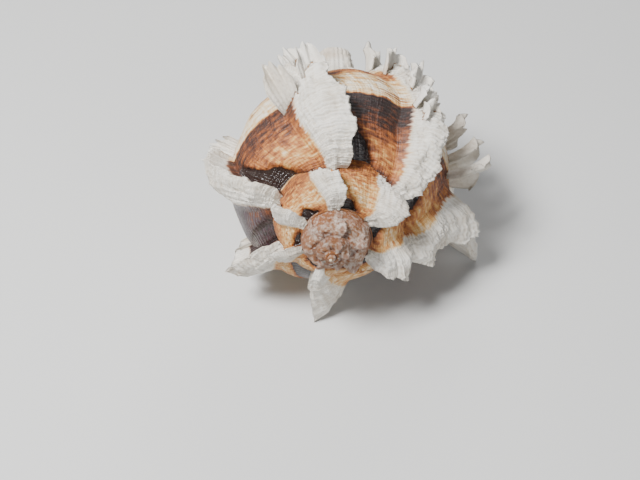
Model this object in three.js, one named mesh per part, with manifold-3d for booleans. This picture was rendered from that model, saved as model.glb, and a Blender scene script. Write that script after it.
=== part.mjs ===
// A murex shell: a right-handed sea-snail shell with about six frilled, spiny varices to a whorl.
// It lies on its opening, with the spire towards -Y, the canal towards +Y and the outer lip on +X.
// Units are millimetres, +Z is up and the surface it rests on is z = 0.
import * as THREE from 'three';
import { mergeVertices } from 'three/addons/utils/BufferGeometryUtils.js';
import Module from 'manifold-3d';

// Coiling. A place along the coil is its angle back from the outer lip, in degrees.
const WHORL_GROWTH = 1.5;          // the last whorl is this many times the size of the one before it
const EARLY_GROWTH = 1.35;         // the older ones grew faster still, by this factor to a whorl
const EARLY_FROM = 330;            // how far back from the lip the older whorls start
const LIP_ANGLE = -16;             // where the outer lip stands round the axis: 0 is +X, 90 is up
const OLDEST = 1300;               // how far back from the lip the smallest whorl begins
const SUTURE_SKEW = 15;            // degrees by which a growth line runs forward at the suture
const BASE_SWEEP = 18;             // degrees by which it runs back towards the canal

// The whorl's outline at the lip, as radius from the axis and distance from the apex.
const OUTLINE = [
  [15.0, 18.0], [17.6, 18.4], [21.0, 20.4], [24.6, 24.0], [27.0, 28.6], [28.8, 34.0],
  [29.3, 40.0], [28.0, 47.0], [24.2, 54.0], [17.5, 60.5], [10.5, 65.5], [5.0, 69.0],
];
const INNER_EDGE = [[1, 69], [1, 11]];   // the axis side of the filled outline

// Varices: angle back from the lip, height of the flange as a share of the usual one, and the solid
// spines of its crest, each as place on the outline (0 to 1), length and half-width. Older ones
// follow in even steps. The shell rests on the lip and on the sixth.
const VARICES = [
  [0, 1.0, [[0.38, 7, 0.1], [0.5, 12.5, 0.08]]],
  [52, 0.85, [[0.33, 3, 0.12]]],
  [108, 1.0, [[0.3, 3.5, 0.1]]],
  [174, 1.0, [[0.38, 7, 0.12]]],
  [230, 1.0, [[0.33, 7.5, 0.12]]],
  [281, 0.7, [[0.33, 10.9, 0.12]]],
  [350, 0.9, [[0.2, 5, 0.12]]],
  [406, 0.9, [[0.2, 4, 0.12]]],
  [466, 0.9, [[0.2, 2, 0.12]]],
  [526, 0.9, [[0.2, 4, 0.12]]],
  [578, 0.8, [[0.2, 4, 0.12]]],
];
const VARIX_STEP = 57;
const EARLY_SIZE = 0.25;           // height of the flange on the older varices
const FLANGE_HEIGHT = 5.5;
// Growth lines across one varix: degrees back from its crest, share of flange, share of spines.
const VARIX_STEPS = [[25, 0.12, 0], [13, 0.6, 0.1], [4, 0.95, 0.6], [0, 1, 1], [-2.4, 0.05, 0]];
const LIP_LEAN = 18;               // degrees by which the lower part of the lip runs forward
const OUTWARD_PULL = 0.8;          // how much more the varices lean straight out than the wall does
const PLACES = [
  0, 0.07, 0.14, 0.2, 0.26, 0.3, 0.33, 0.38, 0.43, 0.5, 0.57, 0.64, 0.71, 0.78, 0.85, 0.92, 1,
];

// Fronds, the thin spines in a row down each of the last six varices: place on the outline,
// degrees back from the crest, length beyond the flange and width.
const FRONDS = [
  [[0.56, 14, 6.5, 5], [0.65, 14, 6.5, 4.6], [0.74, 14, 6, 4.2], [0.84, 12, 4.5, 3.6]],
  [[0.42, 3, 2.6, 3.6], [0.5, 3, 3.4, 4], [0.59, 3, 4, 4], [0.68, 4, 5.2, 4.4], [0.77, 6, 5, 4.2],
    [0.86, 10, 4, 3.6]],
  [[0.43, 22, 7.5, 6], [0.5, 2, 7.5, 6.4], [0.62, 0, 5, 4.5], [0.72, 0, 4.5, 4.2], [0.81, 0, 4, 3.8],
    [0.9, 0, 3, 3]],
  [[0.5, 0, 4, 4.5], [0.58, -3, 4.5, 4.2], [0.67, -6, 5, 4.2], [0.76, -6, 4, 3.8], [0.85, -4, 3, 3.2]],
  [[0.44, 0, 5, 4.6], [0.53, 0, 5, 4.4], [0.62, 0, 5, 4.2], [0.71, 0, 4.5, 4], [0.8, 0, 4, 3.6],
    [0.89, 0, 3, 3]],
  [[0.47, 0, 1.5, 4], [0.58, 0, 1.5, 3.6], [0.81, -26, 9.9, 4.4]],
];
const FROND_ROOT = 3;              // how deep a frond's foot stands in the flange

// The hollow of the last whorls, outlined in the same terms, and how far back it reaches.
const HOLLOW = [
  [21.4, 27.4], [24.4, 27.8], [26.6, 33.0], [27.2, 40.0], [25.6, 47.0], [21.0, 54.0],
  [14.0, 59.5], [8.8, 61.0], [7.6, 55.0], [9.6, 45.5], [14.8, 38.5], [19.2, 32.2],
];
const HOLLOW_FRONT = -32;
const HOLLOW_END = 400;
const HOLLOW_STEP = 16;

// The siphonal canal: centre line as (x, along the axis, z), radius at its two ends, open channel.
const CANAL_LINE = [[5, 54, -3], [4.5, 64, -4.5], [3.5, 74, -4], [2.5, 84, -0.5], [2, 93, 6.5]];
const CANAL_RADIUS = [9, 4.0];
const CHANNEL_HALF_WIDTH = [3.0, 1.3];
const CHANNEL_DEPTH = 14;

// How the shell lies: its axis falls towards the canal, with a small roll to meet the surface.
const AXIS_FALL = 14;
const ROLL = -1.5;

const AXIS = new THREE.Vector3(0, 1, 0);
const SIDE = new THREE.Vector3(1, 0, 0);
const radians = THREE.MathUtils.degToRad;
const mix = THREE.MathUtils.lerp;
const smooth = THREE.MathUtils.smoothstep;

const wasm = await Module();
wasm.setup();

// The size of the coil at an angle back from the lip, as a share of its size at the lip.
function growth(back) {
  return WHORL_GROWTH ** (-back / 360) * EARLY_GROWTH ** (-Math.max(0, back - EARLY_FROM) / 360);
}

// A point of the coil from its angle back from the lip and its place at the lip's size.
function coilPoint(back, radius, along, skew = 0) {
  const scale = growth(back);
  const angle = radians(LIP_ANGLE + back - skew);
  return new THREE.Vector3(
    radius * scale * Math.cos(angle),
    along * scale,
    radius * scale * Math.sin(angle),
  );
}

// A closed solid skinned over rings of points, which all have the same count.
function skin(rings, flatten) {
  const count = rings[0].length;
  const index = [];
  for (let ring = 0; ring < rings.length - 1; ring += 1) {
    for (let i = 0; i < count; i += 1) {
      const here = ring * count + i;
      const next = ring * count + ((i + 1) % count);
      index.push(here, next, here + count, next, next + count, here + count);
    }
  }
  const last = (rings.length - 1) * count;
  const capOf = (ring) => THREE.ShapeUtils.triangulateShape(rings[ring].map(flatten), []);
  capOf(0).forEach(([a, b, c]) => index.push(a, c, b));
  capOf(rings.length - 1).forEach(([a, b, c]) => index.push(last + a, last + b, last + c));
  const geometry = new THREE.BufferGeometry();
  const positions = rings.flat().flatMap((point) => point.toArray());
  geometry.setAttribute('position', new THREE.Float32BufferAttribute(positions, 3));
  geometry.setIndex(index);
  return geometry;
}

// A three.js geometry as a solid that can be joined and cut, turned right side out if need be.
function solid(geometry) {
  const bare = geometry.clone();
  bare.deleteAttribute('normal');
  bare.deleteAttribute('uv');
  const merged = mergeVertices(bare, 1e-4);
  const vertProperties = new Float32Array(merged.attributes.position.array);
  const triVerts = new Uint32Array(merged.index.array);
  if (signedVolume(vertProperties, triVerts) < 0) {
    triVerts.reverse();
  }
  return new wasm.Manifold(new wasm.Mesh({ numProp: 3, vertProperties, triVerts }));
}

function signedVolume(positions, triangles) {
  const corner = (i) => new THREE.Vector3().fromArray(positions, 3 * triangles[i]);
  let sum = 0;
  for (let i = 0; i < triangles.length; i += 3) {
    sum += corner(i).dot(corner(i + 1).cross(corner(i + 2)));
  }
  return sum;
}

// A ring round the axis seen in its own half-plane, and a ring round a path seen along it.
function acrossAxis(point) {
  return new THREE.Vector2(Math.hypot(point.x, point.z), point.y);
}

function acrossPath(point) {
  return new THREE.Vector2(point.x, point.z);
}

const outlineCurve = new THREE.CatmullRomCurve3(
  OUTLINE.map(([radius, along]) => new THREE.Vector3(radius, along, 0)),
);

function flangeHeight(place) {
  return FLANGE_HEIGHT * smooth(place, 0.03, 0.15) * (1 - 0.35 * smooth(place, 0.5, 0.9));
}

// How far the spines of one varix carry a place of the outline outwards.
function spineHeight(place, spines) {
  return spines.reduce((height, [centre, length, halfWidth]) => (
    height + length * Math.max(0, 1 - Math.abs(place - centre) / halfWidth)
  ), 0);
}

// A point of the whorl's skin, lifted off it in the direction that the varices lean.
function raisedPoint(back, place, lift, lean) {
  const base = outlineCurve.getPoint(place);
  const tangent = outlineCurve.getTangent(place);
  const out = new THREE.Vector2(tangent.y + OUTWARD_PULL, -tangent.x).normalize();
  const atSuture = SUTURE_SKEW * (1 - smooth(place, 0.05, 0.36));
  const atBase = BASE_SWEEP * smooth(place, 0.45, 0.8);
  return coilPoint(back, base.x + out.x * lift, base.y + out.y * lift, lean + atSuture - atBase);
}

// One growth line as a closed ring: the outline, raised by its share of the varix.
function growthLine(back, varix, flange, spines, lean) {
  const ring = PLACES.map((place) => {
    const lift = varix.size * flangeHeight(place) * flange + spineHeight(place, varix.spines) * spines;
    return raisedPoint(back, place, lift, lean * smooth(place, 0.38, 0.5));
  });
  INNER_EDGE.forEach(([radius, along]) => ring.push(coilPoint(back, radius, along)));
  return ring;
}

function allVarices() {
  const list = VARICES.map(([back, size, spines]) => ({ back, size, spines }));
  while (list.at(-1).back < OLDEST) {
    list.push({ back: list.at(-1).back + VARIX_STEP, size: EARLY_SIZE, spines: [] });
  }
  return list;
}

// The shell grew in stages. Each runs from the middle of one plain stretch, over a varix, to the
// middle of the next, and the newest one ends at the lip.
function growthStages() {
  const list = allVarices();
  const [firstStep] = VARIX_STEPS;
  const lastStep = VARIX_STEPS.at(-1);
  const middle = (older, newer) => (older.back + lastStep[0] + newer.back + firstStep[0]) / 2;
  const stages = [];
  for (let i = 0; i < list.length - 1; i += 1) {
    const varix = list[i];
    const rings = [growthLine(middle(list[i + 1], varix), varix, 0, 0, 0)];
    VARIX_STEPS.forEach(([before, flange, spines]) => {
      const lean = i === 0 ? LIP_LEAN * flange ** 0.3 : 0;
      rings.push(growthLine(varix.back + before, varix, flange, spines, lean));
    });
    if (i > 0) {
      rings.push(growthLine(middle(varix, list[i - 1]), varix, 0, 0, 0));
    }
    stages.push(solid(skin(rings, acrossAxis)));
  }
  return stages;
}

// One frond as a flat-sided cone that stands straight out of its varix.
function frond(varix, place, further, length, width) {
  const back = varix.back + further;
  const top = varix.size * flangeHeight(place);
  const foot = raisedPoint(back, place, 0, 0);
  const crest = raisedPoint(back, place, top, 0);
  const out = crest.clone().sub(foot).normalize();
  const scale = growth(back);
  const cone = new THREE.ConeGeometry(0.5 * width * scale, (length + FROND_ROOT) * scale, 5);
  cone.translate(0, 0.5 * (length - FROND_ROOT) * scale, 0);
  cone.applyQuaternion(new THREE.Quaternion().setFromUnitVectors(AXIS, out));
  cone.translate(crest.x, crest.y, crest.z);
  return solid(cone);
}

// The pillar on the axis that the whorls are wound on, from the first whorl to the canal.
function pillar() {
  const profile = [[0, 1.1], [0.7, 1.6], [1.2, 8], [1.6, 14], [2.4, 40], [2.4, 66], [0, 67]];
  const points = profile.map(([radius, along]) => new THREE.Vector2(radius, along));
  return solid(new THREE.LatheGeometry(points, 10));
}

// The first, smooth whorls that the animal hatched with.
function firstWhorls() {
  const dome = new THREE.SphereGeometry(1.5, 12, 8);
  dome.translate(0, 2.3, 0);
  return solid(dome);
}

const canalPath = new THREE.CatmullRomCurve3(CANAL_LINE.map((at) => new THREE.Vector3(...at)));

// A section carried along the canal. sectionAt gives points across and up, at a share of its length.
function alongCanal(sectionAt, steps) {
  const rings = [];
  for (let step = 0; step <= steps; step += 1) {
    const share = step / steps;
    const centre = canalPath.getPoint(share);
    const up = new THREE.Vector3().crossVectors(SIDE, canalPath.getTangent(share)).normalize();
    rings.push(sectionAt(share).map(([across, rise]) => (
      centre.clone().addScaledVector(SIDE, across).addScaledVector(up, rise)
    )));
  }
  return solid(skin(rings, acrossPath));
}

function arc(radius, from, to, count) {
  return Array.from({ length: count }, (_, i) => {
    const angle = radians(mix(from, to, i / (count - 1)));
    return [radius * Math.cos(angle), radius * Math.sin(angle)];
  });
}

function canalTube() {
  return alongCanal((share) => arc(mix(...CANAL_RADIUS, share ** 0.6), 0, 330, 12), 8);
}

// The narrow channel, open below, that the siphon lay in.
function canalChannel() {
  return alongCanal((share) => {
    const halfWidth = mix(...CHANNEL_HALF_WIDTH, share);
    return [[-halfWidth, -CHANNEL_DEPTH], [halfWidth, -CHANNEL_DEPTH], ...arc(halfWidth, 0, 180, 6)];
  }, 8);
}

// The space the animal lived in, open at the lip and following the coil back from it.
function hollow() {
  const rings = [];
  for (let back = HOLLOW_END; back >= HOLLOW_FRONT; back -= HOLLOW_STEP) {
    rings.push(HOLLOW.map(([radius, along]) => coilPoint(back, radius, along)));
  }
  return solid(skin(rings, acrossAxis));
}

// Joining and cutting leaves a few loose flakes with no thickness, which are dropped here.
function largestBody(whole) {
  const bodies = whole.decompose();
  return bodies.reduce((best, body) => (body.volume() > best.volume() ? body : best));
}

function shellGeometry() {
  let shell = pillar().add(firstWhorls()).add(canalTube());
  growthStages().forEach((stage) => {
    shell = shell.add(stage);
  });
  allVarices().slice(0, FRONDS.length).forEach((varix, i) => {
    FRONDS[i].forEach((sizes) => {
      shell = shell.add(frond(varix, ...sizes));
    });
  });
  const mesh = largestBody(shell.subtract(hollow()).subtract(canalChannel())).getMesh();
  const geometry = new THREE.BufferGeometry();
  geometry.setAttribute('position', new THREE.BufferAttribute(mesh.vertProperties, 3));
  geometry.setIndex(new THREE.BufferAttribute(mesh.triVerts, 1));
  geometry.rotateY(radians(ROLL));
  geometry.rotateX(radians(-AXIS_FALL));
  geometry.computeBoundingBox();
  const box = geometry.boundingBox;
  const centre = box.getCenter(new THREE.Vector3());
  geometry.translate(-centre.x, -centre.y, -box.min.z);
  geometry.computeVertexNormals();
  return geometry;
}

const shellMaterial = new THREE.MeshStandardMaterial({
  color: 0xd9cdb8,
  roughness: 0.6,
  metalness: 0,
});

const shell = new THREE.Mesh(shellGeometry(), shellMaterial);
shell.name = 'murex_shell';

const murex = new THREE.Group();
murex.add(shell);

export default murex;
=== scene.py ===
import math
import bmesh
import bpy
import numpy as np
from mathutils import Matrix, Vector


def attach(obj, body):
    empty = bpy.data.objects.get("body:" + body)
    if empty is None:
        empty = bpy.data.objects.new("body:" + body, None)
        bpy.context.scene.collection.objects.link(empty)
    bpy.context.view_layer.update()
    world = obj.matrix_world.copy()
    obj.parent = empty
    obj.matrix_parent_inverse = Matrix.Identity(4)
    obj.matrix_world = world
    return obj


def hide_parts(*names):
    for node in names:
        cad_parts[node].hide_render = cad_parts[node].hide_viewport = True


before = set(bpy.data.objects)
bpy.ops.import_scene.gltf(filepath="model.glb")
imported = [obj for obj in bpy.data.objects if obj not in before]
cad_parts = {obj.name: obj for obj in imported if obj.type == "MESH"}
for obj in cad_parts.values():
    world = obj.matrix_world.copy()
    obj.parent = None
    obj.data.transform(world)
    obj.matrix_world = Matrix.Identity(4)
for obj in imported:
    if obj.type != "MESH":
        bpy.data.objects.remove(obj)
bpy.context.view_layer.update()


# Camera
# It stands in front of the spire, a little to the left, and looks down at the shell.
# Lengths are in millimetres and angles in degrees, unless a line says otherwise.
MM = 0.001
LENS = 61.7
CAMERA_PLACE = (-7.2, -201.0, 211.3)
LOOK_DOWN = 48
camera_data = bpy.data.cameras.new("camera")
camera_data.sensor_width = 36
camera_data.lens = LENS
camera = bpy.data.objects.new("camera", camera_data)
bpy.context.scene.collection.objects.link(camera)
camera.location = Vector(CAMERA_PLACE) * MM
camera.rotation_euler = (math.radians(90 - LOOK_DOWN), 0, 0)
bpy.context.scene.camera = camera


# The coil
# A snail's shell is a tube of lime that widens evenly as it winds. The mantle adds to its lip.
# A spot on it is its angle back from the lip, and its place on the whorl's outline, which runs
# from the suture (0) to the base (1). The coil's axis is Y here, and the spire's tip is at 0.
WHORL_GROWTH = 1.5
EARLY_GROWTH = 1.35
EARLY_FROM = 330
LIP_ANGLE = -16
OLDEST = 1300
# A line of growth runs ahead near the suture and falls behind towards the base.
SUTURE_SKEW = 15
BASE_SWEEP = 18
SPECKLE_CELLS = 64
# Distance from the axis and along it, on the newest line of growth.
OUTLINE = [
    (15.0, 18.0), (17.6, 18.4), (21.0, 20.4), (24.6, 24.0), (27.0, 28.6), (28.8, 34.0),
    (29.3, 40.0), (28.0, 47.0), (24.2, 54.0), (17.5, 60.5), (10.5, 65.5), (5.0, 69.0),
]
AXIS_SIDE = [(1.0, 69.0), (1.0, 35.0), (1.0, 11.0)]
OUTWARD_PULL = 0.8
# How the shell lies on its mouth: its axis falls towards the spire, whose tip is at POLE.
AXIS_FALL = 14
ROLL = -1.5
POLE = (-4.882, -47.028, 32.821)
FINE = 1.0

lie = Matrix.Rotation(math.radians(-AXIS_FALL), 4, "X") @ Matrix.Rotation(math.radians(ROLL), 4, "Y")
shell_to_world = Matrix.Scale(MM, 4) @ Matrix.Translation(POLE) @ lie


def growth(back):
    """Size of the tube there, as a share of its size at the lip."""
    back = np.asarray(back, float)
    return WHORL_GROWTH ** (-back / 360) * EARLY_GROWTH ** (-np.maximum(0, back - EARLY_FROM) / 360)


def smooth(value, low, high):
    share = np.clip((value - low) / (high - low), 0, 1)
    return share * share * (3 - 2 * share)


def curve_through(points, share):
    """A smooth curve through the points, read at a share of the way from first to last."""
    points = np.asarray(points, float)
    spans = len(points) - 1
    at = np.clip(np.asarray(share, float) * spans, 0, spans - 1e-9)
    first = at.astype(int)
    t = (at - first)[..., None]
    p0, p1, p2, p3 = (points[np.clip(first + k, 0, spans)] for k in (-1, 0, 1, 2))
    return 0.5 * (2 * p1 + (p2 - p0) * t + (2 * p0 - 5 * p1 + 4 * p2 - p3) * t ** 2
                  + (3 * p1 - p0 - 3 * p2 + p3) * t ** 3)


def coil_points(back, radius, along, skew=0.0):
    """Points given by their angle back and by their distances in the newest line of growth."""
    scale = growth(back)
    angle = np.radians(LIP_ANGLE + back - skew)
    return np.stack([radius * scale * np.cos(angle), along * scale, radius * scale * np.sin(angle)], -1)


def raised(back, place, lift, skew=0.0):
    """A point of the coil's skin, lifted off it in the direction that the varices lean."""
    step = 0.002
    base = curve_through(OUTLINE, place)
    place = np.asarray(place)
    run = curve_through(OUTLINE, place + step) - curve_through(OUTLINE, place - step)
    run /= np.linalg.norm(run, axis=-1)[..., None]
    out = np.stack([run[..., 1] + OUTWARD_PULL, -run[..., 0]], -1)
    out /= np.linalg.norm(out, axis=-1)[..., None]
    lean = SUTURE_SKEW * (1 - smooth(place, 0.05, 0.36)) - BASE_SWEEP * smooth(place, 0.45, 0.8)
    radius = base[..., 0] + out[..., 0] * lift
    along = base[..., 1] + out[..., 1] * lift
    return coil_points(back, radius, along, skew + lean)


def speckle(across, down, seed):
    """Smooth noise from 0 to 1, with one bump to each unit of across and down."""
    cells = SPECKLE_CELLS
    table = np.random.default_rng(seed).random((cells, cells))
    across, down = np.broadcast_arrays(np.asarray(across, float), np.asarray(down, float))
    i, j = np.floor(across).astype(int), np.floor(down).astype(int)
    u, v = across - i, down - j
    u, v = u * u * (3 - 2 * u), v * v * (3 - 2 * v)
    i, j, next_i, next_j = i % cells, j % cells, (i + 1) % cells, (j + 1) % cells
    near = table[i, j] * (1 - u) + table[next_i, j] * u
    far = table[i, next_j] * (1 - u) + table[next_i, next_j] * u
    return near * (1 - v) + far * v


def skin(name, rings, measures, hub, material, chart):
    """A closed mesh over rings of points. An end is a fan round one of its own points, or a
    strip between its two sides. chart is the patch of the bake map that it takes."""
    lines, count = rings.shape[:2]
    ring, spot = np.meshgrid(np.arange(lines - 1), np.arange(count), indexing="ij")
    ring, spot = ring.ravel(), spot.ravel()
    corner_ring = np.stack([ring, ring, ring + 1, ring + 1], 1)
    corner_spot = np.stack([spot, spot + 1, spot + 1, spot], 1)
    if hub is None:
        a = np.arange(count // 2 - 1)
        fan = np.concatenate([np.stack([a, count - 1 - a, a + 1], 1),
                              np.stack([a + 1, count - 1 - a, count - 2 - a], 1)])
    else:
        a = np.arange(count)
        a = a[(a != hub) & ((a + 1) % count != hub)]
        fan = np.stack([a + 1, a, np.full(len(a), hub)], 1)
    end_ring = np.concatenate([np.zeros_like(fan), np.full_like(fan, lines - 1)])
    end_spot = np.concatenate([fan, fan[:, ::-1]])
    rings_of = np.concatenate([corner_ring.ravel(), end_ring.ravel()])
    spots_of = np.concatenate([corner_spot.ravel(), end_spot.ravel()])
    sizes = np.concatenate([np.full(len(ring), 4), np.full(len(end_ring), 3)])

    mesh = bpy.data.meshes.new(name)
    mesh.vertices.add(lines * count)
    mesh.vertices.foreach_set("co", rings.astype(np.float32).ravel())
    mesh.loops.add(len(rings_of))
    mesh.loops.foreach_set("vertex_index", (rings_of * count + spots_of % count).astype(np.int32))
    mesh.polygons.add(len(sizes))
    mesh.polygons.foreach_set("loop_start", np.concatenate([[0], np.cumsum(sizes)[:-1]]).astype(np.int32))
    mesh.update(calc_edges=True)
    for key in MEASURES:
        value = measures.get(key, 0.0)
        layer = mesh.attributes.new(key, "FLOAT", "POINT")
        layer.data.foreach_set("value", np.broadcast_to(value, (lines, count)).astype(np.float32).ravel())
    left, low, right, top = chart
    u = left + (right - left) * spots_of / count
    v = low + (top - low) * rings_of / (lines - 1)
    mesh.uv_layers.new(name="OFBake").data.foreach_set("uv", np.stack([u, v], 1).astype(np.float32).ravel())
    mesh.materials.append(material)
    made = bpy.data.objects.new(name, mesh)
    bpy.context.scene.collection.objects.link(made)
    if volume_sign(rings, corner_ring, corner_spot % count) < 0:
        mesh.flip_normals()
    return made


def volume_sign(rings, corner_ring, corner_spot):
    """Positive if the quads face outwards."""
    a, b, c, d = rings[corner_ring, corner_spot].transpose(1, 0, 2)
    return np.einsum("ij,ij->", a, np.cross(b, c)) + np.einsum("ij,ij->", a, np.cross(c, d))


def combine(body, others, operation):
    """Join the others to the body, or cut them out of it, one by one."""
    for other in others:
        step = body.modifiers.new("step", "BOOLEAN")
        step.operation, step.solver, step.object = operation, "MANIFOLD", other
        step.material_mode = "TRANSFER"
        bpy.context.view_layer.objects.active = body
        bpy.ops.object.modifier_apply(modifier="step")
        bpy.data.objects.remove(other)


# Varices
# At each pause in growth the lip thickened and threw out a frill of white lime: a varix. It
# rises gently on its old side, folds over at its crest and drops steeply in front. Each stage
# of growth has one varix, and the oldest follow at even steps.
# What each point carries for the finishes: angle back, place on the outline, how white it is,
# how deep in a pit, and how far up a crest or along a frond.
MEASURES = ("coil", "place", "white", "pit", "tip")
FLANGE_HEIGHT = 5.2
FRONT_WIDTH = 1.6
OVERHANG = 4.5
LIP_LEAN = 18
HOOD_LEAN = 5
HOODED = 2
SPINE_WIDTH = 15
PLAIN_BEHIND = 26
VARIX_STEP = 57
ON_LAST_WHORL = 6
SPIRE_FROM = 12
CORDS = 30
CORD_HEIGHT = 0.22
THREADS = 90
THREAD_HEIGHT = 0.13
LUMP_HEIGHT = 2.0
SMALL_LUMP_HEIGHT = 0.7
SCALE_HEIGHT = 0.6
SCALE_SPACING = 3.1
SCALLOP_DEPTH = 3.0
SMALL_SCALLOP_DEPTH = 1.8
WALL_THREADS = 60
WALL_THREAD_HEIGHT = 0.07
GROWTH_LINE_HEIGHT = 0.12
WALL_WAVE_HEIGHT = 0.9
PIT_DEPTH = 3.0
# Angle back, height, width behind the crest, and solid spines: place, length, half-width.
VARICES = [
    (0, 1.00, 20, [(0.38, 6.0, 0.12), (0.50, 10.3, 0.075)]), (52, 0.85, 15, [(0.33, 2.5, 0.15)]),
    (108, 1.00, 21, [(0.30, 3.4, 0.10)]), (174, 1.00, 22, [(0.38, 6.7, 0.15)]),
    (230, 1.00, 20, [(0.33, 7.5, 0.13)]), (281, 0.70, 22, [(0.33, 10.7, 0.12)]),
    (350, 1.10, 20, [(0.20, 5.5, 0.12)]), (406, 1.15, 24, [(0.20, 5.0, 0.10)]),
    (466, 1.20, 26, [(0.15, 3.0, 0.08)]), (526, 1.30, 22, [(0.22, 4.5, 0.12)]),
    (578, 1.30, 22, [(0.22, 4.5, 0.12)]), (634, 1.20, 20, [(0.20, 4.0, 0.10)]),
]
while VARICES[-1][0] < OLDEST:
    VARICES.append((VARICES[-1][0] + VARIX_STEP, 0.45, 20, [(0.20, 3.0, 0.10)]))
# The mesh has this many places on an outline, and this many lines of growth in a full stage.
PLACES = int(400 * FINE)
LINES_IN_A_STAGE = 120 * FINE
# On older whorls, the next whorl hides the outline from this place on.
HIDDEN_FROM = 0.52


def stage_steps(older, newer, size):
    """Angles from a varix's crest along one stage of growth, closest together at its front."""
    before = older * (1 - np.linspace(0, 1, int(0.55 * size)) ** 0.8)
    front = -np.linspace(0, FRONT_WIDTH, max(4, int(0.1 * size)))[1:]
    after = -FRONT_WIDTH - (newer - FRONT_WIDTH) * np.linspace(0, 1, int(0.35 * size))[1:] ** 1.1
    return np.concatenate([before, front, after])


def varix_stage(number, older, newer, last_place):
    """Points and measures of one stage, line by line from its old end to its new one."""
    crest_at, size, width, spines = VARICES[number]
    detail = max(18, LINES_IN_A_STAGE * growth(crest_at) ** 0.9)
    steps = stage_steps(older, newer, detail)[:, None]
    p = np.linspace(0, 1, PLACES)[None, :]
    p = p[:, :int(last_place * PLACES)]
    back = crest_at + steps
    older_side = steps >= 0
    behind = np.clip(steps / width, 0, 1)
    rise = (1 - behind ** 2) ** 1.6
    front = np.clip(1 + steps / FRONT_WIDTH, 0, 1)
    share = np.where(older_side, rise, front)
    blade = np.where(older_side, np.clip(1 - steps / SPINE_WIDTH, 0, 1) ** 1.3, front)
    ridge = np.where(older_side, smooth(rise, 0.1, 0.7), front)

    flange = size * FLANGE_HEIGHT * smooth(p, 0.03, 0.15) * (1 - 0.35 * smooth(p, 0.5, 0.9))
    if number >= ON_LAST_WHORL:
        flange = flange * (1 - smooth(p, 0.25, 0.36))
    flange = flange * (0.76 + 0.48 * speckle(p * 17, number * 3.7, 3))
    spine = sum(length * np.clip(1 - np.abs(p - at) / half, 0, 1) ** 1.2 for at, length, half in spines)
    cords = CORD_HEIGHT * np.cos(2 * np.pi * CORDS * p) + THREAD_HEIGHT * np.cos(2 * np.pi * THREADS * p)
    lumps = LUMP_HEIGHT * (speckle(p * 26, back / 4.3, 7) - 0.5)
    lumps = lumps + SMALL_LUMP_HEIGHT * (speckle(p * 80, back / 1.7, 11) - 0.5)
    phase = steps / SCALE_SPACING + 0.9 * speckle(p * 13, steps / 9 + number, 5)
    scales = SCALE_HEIGHT * (phase - np.floor(phase)) * smooth(rise, 0.1, 0.5) * (steps > 1.5)
    wall = WALL_THREAD_HEIGHT * np.cos(2 * np.pi * WALL_THREADS * p)
    wall = wall + GROWTH_LINE_HEIGHT * (speckle(p * 8, back * 0.9, 13) - 0.5)
    wall = wall + WALL_WAVE_HEIGHT * (speckle(p * 5, back / 16, 17) - 0.5)

    # The skin sinks into a pit next to the suture, in front of each varix. The finishes darken it with
    # painted shade.
    ahead = np.where(older_side, VARICES[number + 1][0] - back, -steps)
    in_front = smooth(ahead, 0.8, 3.0) * (1 - smooth(ahead, 18, 38))
    in_front = in_front * (1 - np.where(older_side, ridge, 0))
    pit_edge = (0.27 if number < ON_LAST_WHORL else 0.13) * (1 - 0.7 * smooth(ahead, 5, 34))
    pit_edge = pit_edge * (0.8 + 0.4 * speckle(back / 8, p * 0, 41))
    pit = in_front * smooth(p, 0.0, 0.05) * (1 - smooth(p, pit_edge, pit_edge + 0.09))

    lift = flange * share + spine * blade + min(1, 0.3 + size) * ridge * (cords + lumps + scales)
    lift = lift + (1 - ridge) * wall - PIT_DEPTH * pit * (1 - 0.75 * smooth(p, 0.10, 0.27))
    crest = np.where(older_side, np.exp(-(steps / 4.5) ** 2), front ** 1.5)
    scallop = SCALLOP_DEPTH * (speckle(p * 22, number * 1.3, 19) - 0.5)
    scallop = scallop + SMALL_SCALLOP_DEPTH * (speckle(p * 66, number * 2.1, 23) - 0.5)
    overhang = OVERHANG * smooth(p, 0.0, 0.1) * (1 - 0.6 * smooth(p, 0.3, 0.6))
    forward = min(size, 1) * crest * (overhang + scallop)
    if number == HOODED:
        forward = forward + HOOD_LEAN * crest * smooth(p, 0.14, 0.22) * (1 - smooth(p, 0.34, 0.46))
    skew = 0
    if number == 0:
        skew = LIP_LEAN * smooth(p, 0.38, 0.5) * np.where(older_side, rise ** 0.3, 1)
    points = raised(back - forward, np.broadcast_to(p, lift.shape), lift, skew)
    white = np.where(older_side, smooth(rise, 0.02, 0.75), smooth(front, 0, 0.6))
    full = np.ones_like(lift)
    measures = {"coil": back, "place": p, "white": white, "pit": pit, "tip": share}
    return points, {key: value * full for key, value in measures.items()}


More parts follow.
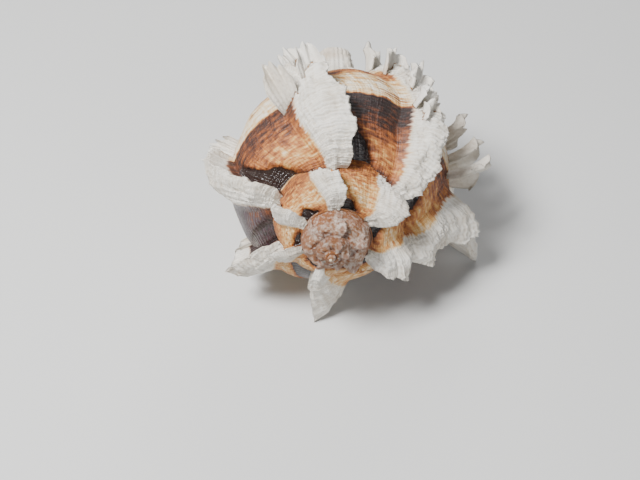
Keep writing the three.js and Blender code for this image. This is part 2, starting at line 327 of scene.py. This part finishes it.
def whorls(material):
    """The coil in four lengths, which share their end lines with their neighbours."""
    # First varix, the one after the last, how much of the outline, and column of the bake map.
    lengths = [
        (0, 3, 1, 0), (3, ON_LAST_WHORL, 1, 1), (ON_LAST_WHORL, SPIRE_FROM, HIDDEN_FROM, 2),
        (SPIRE_FROM, len(VARICES) - 1, HIDDEN_FROM, 3),
    ]
    made = []
    for first, end, share, column in lengths:
        parts = []
        for number in range(end - 1, first - 1, -1):
            crest = VARICES[number][0]
            older = (VARICES[number + 1][0] - crest + PLAIN_BEHIND - 3) / 2
            newer = FRONT_WIDTH
            if number:
                newer = (crest - VARICES[number - 1][0] - PLAIN_BEHIND + 3) / 2
            points, measures = varix_stage(number, older, newer, share)
            if parts:
                points, measures = points[1:], {key: value[1:] for key, value in measures.items()}
            parts.append((points, measures))
        points = np.concatenate([part[0] for part in parts])
        measures = {key: np.concatenate([part[1][key] for part in parts]) for key in parts[0][1]}
        inner = np.array(AXIS_SIDE if share == 1 else AXIS_SIDE[1:])
        axis_points = coil_points(measures["coil"][:, :1], inner[None, :, 0], inner[None, :, 1])
        rings = np.concatenate([points, axis_points], 1)
        pad = len(inner)
        measures = {key: np.concatenate([value, value[:, -pad:]], 1) for key, value in measures.items()}
        hub = rings.shape[1] - 2
        chart = (0.25 * column, 0.0, 0.25 * column + 0.24, 0.74)
        made.append(skin("whorls", rings, measures, hub, material, chart))
    return made


# Fronds
# On the crest of each varix stand hollow fronds of white lime. Each is a fold of the lip, a
# gutter open to the front, which widens and frays where the mantle stopped laying lime.
# A frond's root is sunk in the varix. The list below gives its size in sight, before it spreads.
FROND_ROOT = -0.8
FROND_MORE_LENGTH = 3.8
FROND_SPREAD = 1.45
FROND_LEAN = 8
FROND_CURL = 34
FROND_TURN = -64


def frond(back, place, lift, length, width, lean, curl, turned, seed):
    """Rings of one frond, from its root to its frayed tip. The root stands on the skin, raised by
    lift. The frond leans back, curls on further and is turned about its own length."""
    scale = float(growth(back))
    here = raised(back, place, lift)
    out = raised(back, place, lift + 0.5) - here
    old = raised(back + 0.5, place, lift) - here
    out /= np.linalg.norm(out)
    old -= out * np.dot(old, out)
    old /= np.linalg.norm(old)
    side = np.cross(out, old)
    if np.dot(side, raised(back, place + 0.01, lift) - here) < 0:
        side = -side
    cosine, sine = math.cos(math.radians(turned)), math.sin(math.radians(turned))
    side, old = side * cosine + old * sine, old * cosine - side * sine
    across, rows = int(12 + 12 * FINE), int(10 + 10 * FINE)
    s = np.linspace(0, 1, rows)[:, None]
    u = np.linspace(-1, 1, across)[None, :]
    teeth = 0.16 * np.abs(np.sin(1.9 * np.pi * u + seed)) - 0.48 * u ** 2
    teeth = teeth + 0.2 * (speckle(u * 3 + 9, seed, 29) - 0.5)
    way = s * (1 + teeth * s ** 2)
    angle = np.radians(lean + curl * way)
    turn = np.radians(curl) + 1e-6
    start = math.radians(lean)
    run_out = length * (np.sin(angle) - math.sin(start)) / turn
    run_old = length * (math.cos(start) - np.cos(angle)) / turn
    half = 0.5 * width * (0.52 + 1.0 * s - 0.66 * s ** 2)
    ruffle = 0.30 * s ** 3 * np.sin(2.6 * np.pi * u + seed)
    gutter = half * (0.62 * u ** 2 + 0.07 * np.cos(6 * np.pi * u) + ruffle)
    middle = [run_out + gutter * np.sin(angle), run_old - gutter * np.cos(angle), half * u]
    thick = 0.5 * (1.5 - 1.0 * s) * (1 - 0.25 * u ** 2)
    sides = []
    for sign in (1, -1):
        offset = sign * thick
        a = (middle[0] + offset * np.sin(angle)) * scale
        b = (middle[1] - offset * np.cos(angle)) * scale
        c = middle[2] * scale + 0 * a
        sides.append(here + a[..., None] * out + b[..., None] * old + c[..., None] * side)
    return np.concatenate([sides[0], sides[1][:, ::-1]], 1)


# One row to a varix, newest first: place, angle further back, length and width.
FRONDS = [
    [(0.47, 17, 6.2, 6.0), (0.56, 14, 6.0, 6.4), (0.65, 12, 6.0, 6.0), (0.74, 12, 5.5, 5.4),
     (0.84, 12, 4.5, 4.6)],
    [(0.42, 2, 2.8, 5.4), (0.50, 5, 3.4, 5.6), (0.59, 2, 4.2, 5.8), (0.68, 5, 5.0, 6.0),
     (0.77, 6, 5.0, 5.6), (0.86, 10, 4.0, 4.6)],
    [(0.43, 17, 9.0, 6.0), (0.50, 2, 8.5, 6.0), (0.62, 0, 5.0, 4.5), (0.72, 0, 4.5, 4.2),
     (0.81, 0, 4.0, 3.8), (0.90, 0, 3.0, 3.0)],
    [(0.50, 0, 4.0, 4.5), (0.58, -3, 4.5, 4.2), (0.67, -6, 5.0, 4.2), (0.76, -6, 4.0, 3.8),
     (0.85, -4, 3.0, 3.2)],
    [(0.44, 0, 5.0, 4.6), (0.53, 0, 5.0, 4.4), (0.62, 0, 5.0, 4.2), (0.71, 0, 4.5, 4.0),
     (0.80, 0, 4.0, 3.6), (0.89, 0, 3.0, 3.0)],
    [(0.47, 0, 1.5, 4.0), (0.58, 0, 1.5, 3.6), (0.81, -26, 9.5, 4.4)],
]


def fronds(material):
    """All fronds as two meshes, in which no two neighbours meet."""
    made = []
    cell = 0
    for number, row in enumerate(FRONDS):
        crest = VARICES[number][0]
        for place, offset, length, width in row:
            jitter = np.random.default_rng(cell).uniform(-1, 1, 3)
            back = crest + offset + 1.0
            rings = frond(
                back, place, FROND_ROOT, length + FROND_MORE_LENGTH + 0.6 * jitter[0],
                FROND_SPREAD * width, FROND_LEAN + 6 * jitter[1], FROND_CURL + 12 * jitter[2],
                FROND_TURN + 18 * jitter[0], cell * 1.7)
            to_tip = np.linspace(0, 1, len(rings))[:, None]
            measures = {"coil": back, "place": place, "white": 1.0, "tip": to_tip}
            left, low = 0.04 * (cell % 24), 0.86 + 0.07 * (cell // 24)
            chart = (left, low, left + 0.036, low + 0.06)
            made.append(skin("frond", rings, measures, None, material, chart))
            cell += 1
    return [joined(made[0::2]), joined(made[1::2])]


def joined(pieces):
    """The pieces as one object, the first of them."""
    bpy.ops.object.select_all(action="DESELECT")
    for piece in pieces:
        piece.select_set(True)
    bpy.context.view_layer.objects.active = pieces[0]
    bpy.ops.object.join()
    return pieces[0]


# Canal
# A narrow half-open tube of lime, bent upwards, that the mantle rolled round the siphon. Its
# skin is scaly and it ends blunt. The channel below it is smooth. Radii go from root to end.
CANAL_LINE = [(5, 54, -3), (4.5, 64, -4.5), (3.5, 74, -4), (2.5, 84, -0.5), (2, 93, 6.5)]
CANAL_RADIUS = (9.0, 4.0)
CHANNEL_HALF_WIDTH = (3.0, 1.3)
CHANNEL_DEPTH = 14
CANAL_SCALES = 22
CANAL_SCALE_HEIGHT = 0.5
CANAL_CORDS = 22
CANAL_CORD_HEIGHT = 0.12


def along_canal(section_at, steps):
    """Shares of the way along the canal, and a ring of points at each."""
    share = np.linspace(0, 1, steps)
    centre = curve_through(CANAL_LINE, share)
    ahead = curve_through(CANAL_LINE, share + 0.01) - curve_through(CANAL_LINE, share - 0.01)
    up = np.cross((1.0, 0.0, 0.0), ahead)
    up /= np.linalg.norm(up, axis=1)[:, None]
    rings = []
    for at, middle, rise in zip(share, centre, up):
        section = section_at(at)
        rings.append(middle + section[:, :1] * np.array([[1.0, 0, 0]]) + section[:, 1:] * rise)
    return share, np.array(rings)


def canal_tube(material):
    around = np.radians(np.linspace(0, 360, int(140 * FINE), endpoint=False))

    def section(at):
        radius = CANAL_RADIUS[0] + (CANAL_RADIUS[1] - CANAL_RADIUS[0]) * at ** 0.6
        phase = at * CANAL_SCALES + 0.5 * speckle(around * 2, at * 9, 31)
        lumps = speckle(around * 3, at * CANAL_SCALES, 37) - 0.5
        scales = CANAL_SCALE_HEIGHT * (phase % 1) + CANAL_SCALE_HEIGHT * lumps
        radius = radius + scales + CANAL_CORD_HEIGHT * np.cos(around * CANAL_CORDS)
        return np.stack([radius * np.cos(around), radius * np.sin(around)], 1)

    share, rings = along_canal(section, int(160 * FINE))
    place, white = 0.9 + 0.1 * share, smooth(share, 0.0, 0.5)
    measures = {"coil": 5.0, "place": place[:, None], "white": white[:, None]}
    return skin("canal", rings, measures, None, material, (0.0, 0.76, 0.3, 0.85))


def canal_channel(material):
    arch = np.radians(np.linspace(0, 180, 12))

    def section(at):
        half = CHANNEL_HALF_WIDTH[0] + (CHANNEL_HALF_WIDTH[1] - CHANNEL_HALF_WIDTH[0]) * at
        curve = np.stack([half * np.cos(arch), half * np.sin(arch)], 1)
        return np.concatenate([[(half, -CHANNEL_DEPTH)], curve, [(-half, -CHANNEL_DEPTH)]])

    share, rings = along_canal(section, 60)
    rings[0] -= rings[1] - rings[0]
    rings[-1] += 3 * (rings[-1] - rings[-2])
    return skin("channel", rings, {"coil": 0.0, "place": 0.95}, None, material, (0.32, 0.76, 0.48, 0.85))


# Mouth
# The space that the animal lived in follows the coil back from the lip. The mantle kept its
# wall smooth, with short folds just inside the lip.
HOLLOW = [
    (21.4, 27.4), (24.4, 27.8), (26.6, 33.0), (27.2, 40.0), (25.6, 47.0), (21.0, 54.0),
    (14.0, 59.5), (8.8, 61.0), (7.6, 55.0), (9.6, 45.5), (14.8, 38.5), (19.2, 32.2),
]
HOLLOW_FRONT = -32
HOLLOW_END = 400
FOLDS = 34
FOLD_HEIGHT = 0.35


def hollow(material):
    back = np.linspace(HOLLOW_END, HOLLOW_FRONT, int(220 * FINE))[:, None]
    around = np.linspace(0, 1, int(220 * FINE), endpoint=False)
    section = curve_through(HOLLOW + HOLLOW[:1], around)
    near_lip = smooth(-back, -22, -2) * (1 - smooth(-back, 4, 20))
    folds = FOLD_HEIGHT * np.cos(2 * np.pi * FOLDS * around)[None, :] * near_lip
    centre = section.mean(0)
    away = (section - centre) / np.linalg.norm(section - centre, axis=1)[:, None]
    radius = section[None, :, 0] + folds * away[None, :, 0]
    along = section[None, :, 1] + folds * away[None, :, 1]
    rings = coil_points(back, radius, along)
    measures = {"coil": back, "place": around[None, :]}
    return skin("hollow", rings, measures, None, material, (0.5, 0.76, 0.98, 0.85))


# The shell's core
# The pillar of lime that the whorls are wound on, and the smooth dome of the first whorls, which
# the animal hatched with. Profiles are distances from the axis and along it.
PILLAR = [(0.3, 1.1), (0.7, 1.6), (1.2, 8), (1.6, 14), (2.4, 40), (2.4, 66), (0.5, 67)]
DOME_RADIUS = 1.15
DOME_MIDDLE = 2.35


def lathe(profile, around, coil, place, material, name):
    angle = np.radians(np.linspace(0, 360, around, endpoint=False))[None, :]
    radius, along = np.array(profile).T[:, :, None]
    rings = np.stack([radius * np.cos(angle), along + 0 * angle, radius * np.sin(angle)], -1)
    return skin(name, rings, {"coil": coil, "place": place}, None, material, (0.3, 0.76, 0.31, 0.77))


# Finishes
# Lime and glaze are described by sums of what the mesh measures and of noise. A Value is one
# shader socket, and its operators make the Math, Mix and Combine nodes.
class Value:
    def __init__(self, tree, socket=None):
        self.tree = tree
        self.socket = socket

    def node(self, kind, settings, sockets, output=0):
        made = self.tree.nodes.new(kind)
        for name, value in settings.items():
            if name == "stops":
                set_stops(made.color_ramp, value)
            else:
                setattr(made, name, value)
        for name, value in sockets.items():
            if isinstance(value, Value):
                self.tree.links.new(value.socket, made.inputs[name])
            else:
                made.inputs[name].default_value = value
        return Value(self.tree, made.outputs[output])

    def math(self, operation, first, second):
        return self.node("ShaderNodeMath", {"operation": operation}, {0: first, 1: second})

    def __add__(self, other):
        return self.math("ADD", self, other)

    def __radd__(self, other):
        return self.math("ADD", other, self)

    def __sub__(self, other):
        return self.math("SUBTRACT", self, other)

    def __rsub__(self, other):
        return self.math("SUBTRACT", other, self)

    def __mul__(self, other):
        return self.math("MULTIPLY", self, other)

    def __rmul__(self, other):
        return self.math("MULTIPLY", other, self)

    def largest(self, other):
        return self.math("MAXIMUM", self, other)

    def cosine(self):
        return self.math("COSINE", self, 0.0)

    def step(self, low, high):
        """0 below low, 1 above high and a smooth rise between them."""
        sockets = {0: self, 1: low, 2: high, 3: 0.0, 4: 1.0}
        return self.node("ShaderNodeMapRange", {"interpolation_type": "SMOOTHSTEP"}, sockets)

    def ramp(self, *stops):
        return self.node("ShaderNodeValToRGB", {"stops": stops}, {0: self})

    def paint(self, under, over):
        """The colour under, covered by the colour over as far as this value goes."""
        return self.node("ShaderNodeMix", {"data_type": "RGBA"}, {0: self, 6: under, 7: over}, 2)

    def measure(self, name):
        return self.node("ShaderNodeAttribute", {"attribute_name": name}, {}, 2)

    def noise(self, vector, scale, detail=2.0):
        return self.node("ShaderNodeTexNoise", {}, {"Vector": vector, "Scale": scale, "Detail": detail})

    def vector(self, x, y, z=0.0):
        return self.node("ShaderNodeCombineXYZ", {}, {0: x, 1: y, 2: z})

    def feed(self, shader, name):
        self.tree.links.new(self.socket, shader.inputs[name])


def set_stops(ramp, stops):
    elements = ramp.elements
    while len(elements) < len(stops):
        elements.new(1.0)
    for element, (place, colour) in zip(elements, stops):
        element.position = place
        element.color = (*colour, 1) if isinstance(colour, tuple) else (colour, colour, colour, 1)


def finish(name):
    material = bpy.data.materials.new(name)
    material.use_nodes = True
    return material, Value(material.node_tree), material.node_tree.nodes["Principled BSDF"]


def bump(value, shader, distance):
    value.node("ShaderNodeBump", {}, {"Height": value, "Distance": distance * MM}).feed(shader, "Normal")


# Outer layer
# Pigment was laid in spiral bands as the lip grew on between varices: cream, gold, orange, rust
# and nearly black. The varices are chalky white. The pits in front of them are glossy, and their
# dark colour is painted shade.
OUTLINE_LENGTH = 75
DEGREE_LENGTH = 0.5
ZONES_END = 700
FINE_GROOVES = 90
VIOLET_BROWN = (0.065, 0.030, 0.040, 1)
SPIRE_BROWN = (0.22, 0.08, 0.032, 1)
SPIRE_PALE = (0.52, 0.42, 0.36, 1)
# The tan below is partly stain and partly painted shade at the roots of fronds.
TAN_STAIN_AND_ROOT_SHADE = (0.50, 0.30, 0.14, 1)

outside, lime, shader = finish("murex lime")
coil, place = lime.measure("coil"), lime.measure("place")
white, pit, tip = lime.measure("white"), lime.measure("pit"), lime.measure("tip")
spot = lime.node("ShaderNodeTexCoord", {}, {}, 3)
across, along = place * OUTLINE_LENGTH, coil * DEGREE_LENGTH
flecks = lime.noise(lime.vector(across * 0.75, along * 0.33), 1.0, 3.0)
threads = lime.noise(lime.vector(across * 2.6, along * 0.10, 5.0), 1.0, 2.0)
streaks = lime.noise(lime.vector(across * 0.10, along * 1.9, 9.0), 1.0, 3.0)
cloud = lime.noise(spot, 160.0, 3.0)
grain = lime.noise(spot, 1500.0, 3.0)

# How strong the pigment is in each stage, and in each place on the outline.
zone = (coil * (1 / ZONES_END)).ramp(
    (0.0, 0.74), (0.065, 0.80), (0.085, 1.05), (0.145, 1.1), (0.165, 0.82), (0.238, 0.84), (0.262, 1.0),
    (0.318, 1.0), (0.34, 0.62), (0.48, 0.55), (0.50, 0.62), (0.9, 0.60), (1.0, 0.50))
band = (place + (flecks - 0.5) * 0.05 + (cloud - 0.5) * 0.03).ramp(
    (0.0, 0.9), (0.10, 0.72), (0.15, 0.44), (0.23, 0.50), (0.29, 0.68), (0.35, 0.86), (0.452, 1.0),
    (0.466, 0.16), (0.52, 0.12), (0.60, 0.25), (0.63, 0.55), (0.67, 0.50), (0.70, 0.15), (0.78, 0.18),
    (0.80, 0.48), (0.84, 0.45), (0.87, 0.12), (1.0, 0.10))
inner_zone = coil.step(172, 178) * (1 - coil.step(226, 232))
purple = inner_zone * place.step(0.10, 0.16) * (1 - place.step(0.44, 0.46))
mottle = (flecks - 0.5) * 1.1 + (threads - 0.5) * 0.35 + (streaks - 0.5) * 0.5
base = place.step(0.88, 0.94)
darkness = band * zone + mottle * 0.85 * (1 - purple * 0.5) * (1 - base) + 0.35 * purple
lines = threads.step(0.60, 0.68) * place.step(0.465, 0.49) * (1 - base) * 0.45
# pit * 0.45 darkens the pits: painted shade.
darkness = darkness + lines + pit * 0.45
cover = (white + (flecks - 0.5) * 0.75 + (threads - 0.5) * 0.5 + (cloud - 0.5) * 0.4).step(0.30, 0.62)
# The pits are glossy, and this mask also darkens their colour: painted shade.
glaze = (pit + (flecks - 0.5) * 0.4).step(0.30, 0.75) * (1 - white)

# The animal's body glazed the whorl beside the mouth, and that patch is dark. The pits are darkened too,
# with painted shade.
callus = coil.step(286, 304) * (1 - coil.step(334, 350))
callus = callus * place.step(0.22, 0.36) * (1 - place.step(0.52, 0.82))
callus = (callus + (flecks - 0.5) * 0.5).step(0.25, 0.75)
shaded_pits_and_callus = glaze.largest(callus * (1 - white))
# The pits go near black here as painted shade; the callus patch is dark in its own colour.
darkness = (darkness * (1 - 0.93 * cover)).largest(shaded_pits_and_callus * 1.2)
colour = darkness.ramp(
    (0.0, (0.78, 0.72, 0.62)), (0.14, (0.72, 0.58, 0.38)), (0.30, (0.60, 0.34, 0.11)),
    (0.46, (0.44, 0.16, 0.04)), (0.64, (0.22, 0.065, 0.020)), (0.82, (0.075, 0.026, 0.014)),
    (1.0, (0.022, 0.013, 0.012)))
colour = (purple * (1 - cover) * flecks.step(0.35, 0.65) * 0.8).paint(colour, VIOLET_BROWN)

# The old spire is worn to a brown and pale lattice, and the varices are chalk with tan on their
# lower slopes and at the roots of fronds, partly stain and partly painted shade.
# groove is 1 in the troughs between the fine threads, and the chalk and the lattice are darker there.
groove = 0.5 - 0.5 * (place * (2 * math.pi * FINE_GROOVES)).cosine()
early = coil.step(660, 700)
lattice = (cloud * 0.5 + grain * 0.9 - 0.12 * groove).step(0.58, 0.86)
spire = lattice.paint(SPIRE_BROWN, SPIRE_PALE)
colour = (early * 0.88).paint(colour, spire)
chalk = (cloud * 0.45 + streaks * 0.35 + grain * 0.2 - groove * 0.10).ramp(
    (0.26, (0.42, 0.35, 0.27)), (0.40, (0.62, 0.57, 0.49)),
    (0.52, (0.74, 0.71, 0.65)), (0.75, (0.82, 0.81, 0.78)))
colour = (cover * 0.9 * (1 - early)).paint(colour, chalk)
# Tan low on the varices and at frond roots: partly stain, partly painted shade where fronds meet the varix.
tan_stain_and_root_shade = cover * (1 - tip.step(0.2, 0.75)) * flecks.step(0.50, 0.75) * 0.45
colour = tan_stain_and_root_shade.paint(colour, TAN_STAIN_AND_ROOT_SHADE)
colour.feed(shader, "Base Color")

shine = shaded_pits_and_callus.largest(purple * (1 - cover) * 0.7)
(0.62 - 0.14 * (1 - cover) + 0.16 * (grain - 0.5) - 0.34 * shine).feed(shader, "Roughness")
(0.7 * shine).feed(shader, "Coat Weight")
shader.inputs["Coat Roughness"].default_value = 0.12
shader.inputs["Specular IOR Level"].default_value = 0.45
relief = streaks * 0.5 + threads * 0.4 + (grain * 0.5 + cloud * 0.5) * (1 - 0.8 * shaded_pits_and_callus)
bump(relief, shader, 0.5)


# Inner layer
# The mouth is lined with smooth, rose-coloured glaze that pales towards the lip. Further back
# into the mouth it darkens, and that darkening is painted shade.
inside, glazed, shader = finish("rose glaze")
coil = glazed.measure("coil")
cloud = glazed.noise(glazed.node("ShaderNodeTexCoord", {}, {}, 3), 120.0, 3.0)
# The rose colour, darker further back into the mouth as painted shade.
shade = (coil * 0.004 + 0.12 + (cloud - 0.5) * 0.3).ramp(
    (0.0, (0.80, 0.66, 0.58)), (0.14, (0.74, 0.44, 0.38)),
    (0.35, (0.62, 0.26, 0.22)), (1.0, (0.50, 0.22, 0.14)))
shade.feed(shader, "Base Color")
(0.22 + 0.15 * cloud).feed(shader, "Roughness")
shader.inputs["Coat Weight"].default_value = 0.3
shader.inputs["Coat Roughness"].default_value = 0.1
bump(cloud + glazed.noise(glazed.vector(coil * 0.6, 0.0), 1.0, 2.0) * 0.4, shader, 0.12)


# The shell
# All the growth is one piece of lime: the whorls, the first whorls, the canal and the fronds
# are joined, and the animal's room and the canal's channel are open.
def drop_crumbs(body):
    """Delete the small loose bits that the joining left."""
    ends = np.empty(2 * len(body.data.edges), np.int64)
    body.data.edges.foreach_get("vertices", ends)
    a, b = ends[0::2], ends[1::2]
    label = np.arange(len(body.data.vertices))
    before = None
    while before is None or (before != label).any():
        before = label.copy()
        lowest = np.minimum(label[a], label[b])
        np.minimum.at(label, a, lowest)
        np.minimum.at(label, b, lowest)
        label = label[label]
    largest = np.bincount(label).argmax()
    work = bmesh.new()
    work.from_mesh(body.data)
    work.verts.ensure_lookup_table()
    crumbs = [work.verts[i] for i in np.flatnonzero(label != largest)]
    bmesh.ops.delete(work, geom=crumbs, context="VERTS")
    work.to_mesh(body.data)
    work.free()


murex, *older_whorls = whorls(outside)
pillar = lathe(PILLAR, 20, 150.0, 0.95, outside, "pillar")
turns = np.radians(np.linspace(5, 175, 14))
dome = [(DOME_RADIUS * math.sin(a), DOME_MIDDLE - DOME_RADIUS * math.cos(a)) for a in turns]
first_whorls = lathe(dome, 28, 2000.0, 0.2, outside, "first whorls")
combine(murex, older_whorls + [pillar, first_whorls, canal_tube(outside)] + fronds(outside), "UNION")
combine(murex, [hollow(inside), canal_channel(inside)], "DIFFERENCE")
drop_crumbs(murex)
murex.data.transform(shell_to_world)
murex.data.polygons.foreach_set("use_smooth", [True] * len(murex.data.polygons))
murex.name = "murex"
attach(murex, "root")
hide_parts("murex_shell")


# Studio
# A plain pale floor, a soft light above the spire's left, and weaker ones to fill. Lengths here
# are in metres and energies in watts.
FLOOR = 3
LIGHTS = [
    ("key", (-0.24, -0.16, 0.50), 0.16, 7.0),
    ("fill", (0.5, -0.45, 0.30), 0.4, 1.5),
    ("rim", (0.1, 0.6, 0.4), 0.3, 1.6),
]
corners = [(-FLOOR, -FLOOR, 0), (FLOOR, -FLOOR, 0), (FLOOR, FLOOR, 0), (-FLOOR, FLOOR, 0)]
floor_mesh = bpy.data.meshes.new("floor")
floor_mesh.from_pydata(corners, [], [(0, 1, 2, 3)])
floor = bpy.data.objects.new("floor", floor_mesh)
bpy.context.scene.collection.objects.link(floor)
paper, _, shader = finish("paper")
shader.inputs["Base Color"].default_value = (0.62, 0.62, 0.61, 1)
shader.inputs["Roughness"].default_value = 0.8
floor_mesh.materials.append(paper)

sky = bpy.data.worlds.new("studio")
sky.use_nodes = True
sky.node_tree.nodes["Background"].inputs["Color"].default_value = (0.85, 0.9, 1.0, 1)
sky.node_tree.nodes["Background"].inputs["Strength"].default_value = 0.12
bpy.context.scene.world = sky
middle = Vector((0, 0, 0.03))
for name, place_at, size, energy in LIGHTS:
    light = bpy.data.lights.new(name, "AREA")
    light.size = size
    light.energy = energy
    lamp = bpy.data.objects.new(name, light)
    lamp.location = place_at
    lamp.rotation_euler = (middle - lamp.location).to_track_quat("-Z", "Y").to_euler()
    bpy.context.scene.collection.objects.link(lamp)
